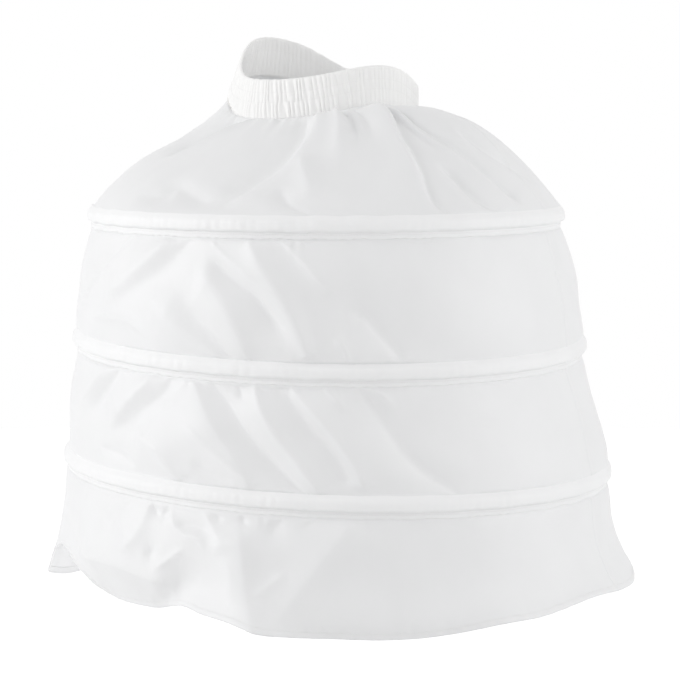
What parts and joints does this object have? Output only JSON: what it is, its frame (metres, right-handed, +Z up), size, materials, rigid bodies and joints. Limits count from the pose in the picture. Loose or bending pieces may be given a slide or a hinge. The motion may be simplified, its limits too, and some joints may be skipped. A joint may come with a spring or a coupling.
{
  "type": "hoop petticoat",
  "caption": "Bell-shaped white hoop petticoat: a gathered elastic waistband, a domed upper tier, cloth tiers held out by flat hoops in sewn casings, and a free flounce at the hem.",
  "frame": {"origin": "middle of the relaxed waist opening, near the mean height of the waistband's centre line", "axes": "+Z up, +X to the wearer's left, -Y to the wearer's front"},
  "size_m": [0.7698, 0.7597, 0.6944],
  "materials": {
    "skirt_cloth": "thin white woven polyester with a slight sheen",
    "band_cloth": "white woven polyester, closely gathered",
    "casing_tape": "white woven tape, stitched along its edge",
    "elastic": "ribbed knitted elastic",
    "hoop_strip": "thin steel strip with a white plastic coat",
    "hoop_sleeve": "flattened steel sleeve"
  },
  "bodies": {
    "root": {"waistband_cover": "band_cloth", "waist_elastic": "elastic", "upper_tier": "skirt_cloth", "second_tier": "skirt_cloth", "third_tier": "skirt_cloth", "flounce": "skirt_cloth", "upper_casing": "casing_tape", "middle_casing": "casing_tape", "lower_casing": "casing_tape", "upper_hoop": "hoop_strip", "middle_hoop": "hoop_strip", "lower_hoop": "hoop_strip", "upper_sleeve": "hoop_sleeve", "middle_sleeve": "hoop_sleeve", "lower_sleeve": "hoop_sleeve"}
  },
  "joints": []
}
